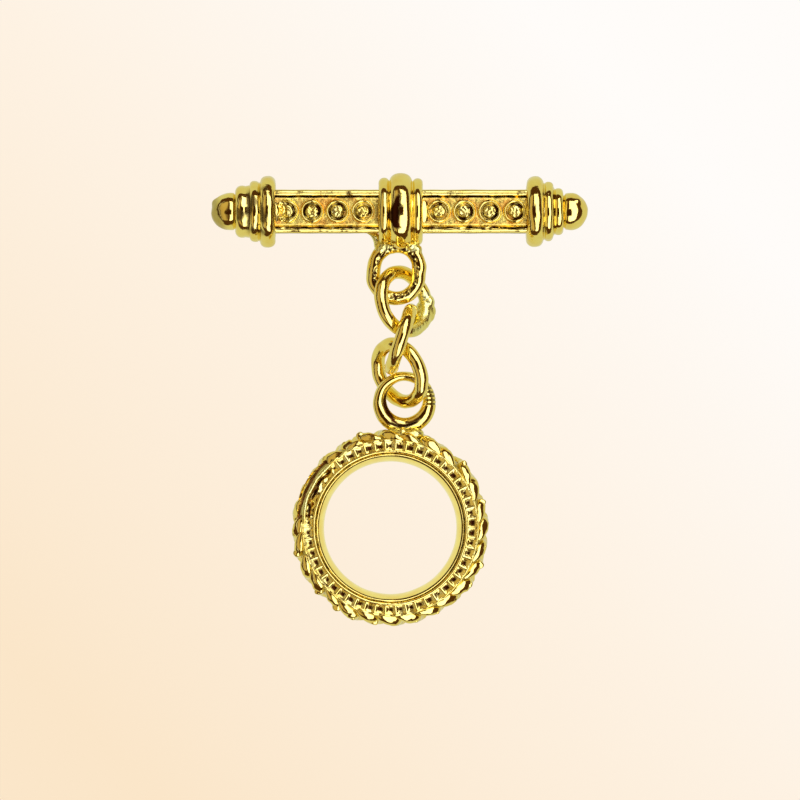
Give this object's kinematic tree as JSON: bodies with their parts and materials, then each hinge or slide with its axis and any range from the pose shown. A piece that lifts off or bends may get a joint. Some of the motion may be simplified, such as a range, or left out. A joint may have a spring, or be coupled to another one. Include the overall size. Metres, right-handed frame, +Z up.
{
  "type": "toggle clasp",
  "caption": "Toggle clasp of gold coloured cast metal: square bar with bezels, ribbed caps and loop, joined by round jump rings to a toggle ring with a rope edge and loop.",
  "frame": {"origin": "middle of the outline on the surface that the clasp lies on", "axes": "+Y from the toggle ring up to the bar, +X to the right along the bar as the picture shows it, +Z up out of the surface"},
  "size_m": [0.034, 0.0408, 0.0069],
  "materials": {
    "bar_metal": "gold plated, polished, satin in the recessed panels",
    "link_metal": "gold plated, polished",
    "ring_metal": "gold plated, polished cast relief"
  },
  "bodies": {
    "root": {"toggle_bar": "bar_metal", "link_upper": "link_metal", "link_middle": "link_metal", "link_lower": "link_metal", "toggle_ring": "ring_metal"}
  },
  "joints": []
}
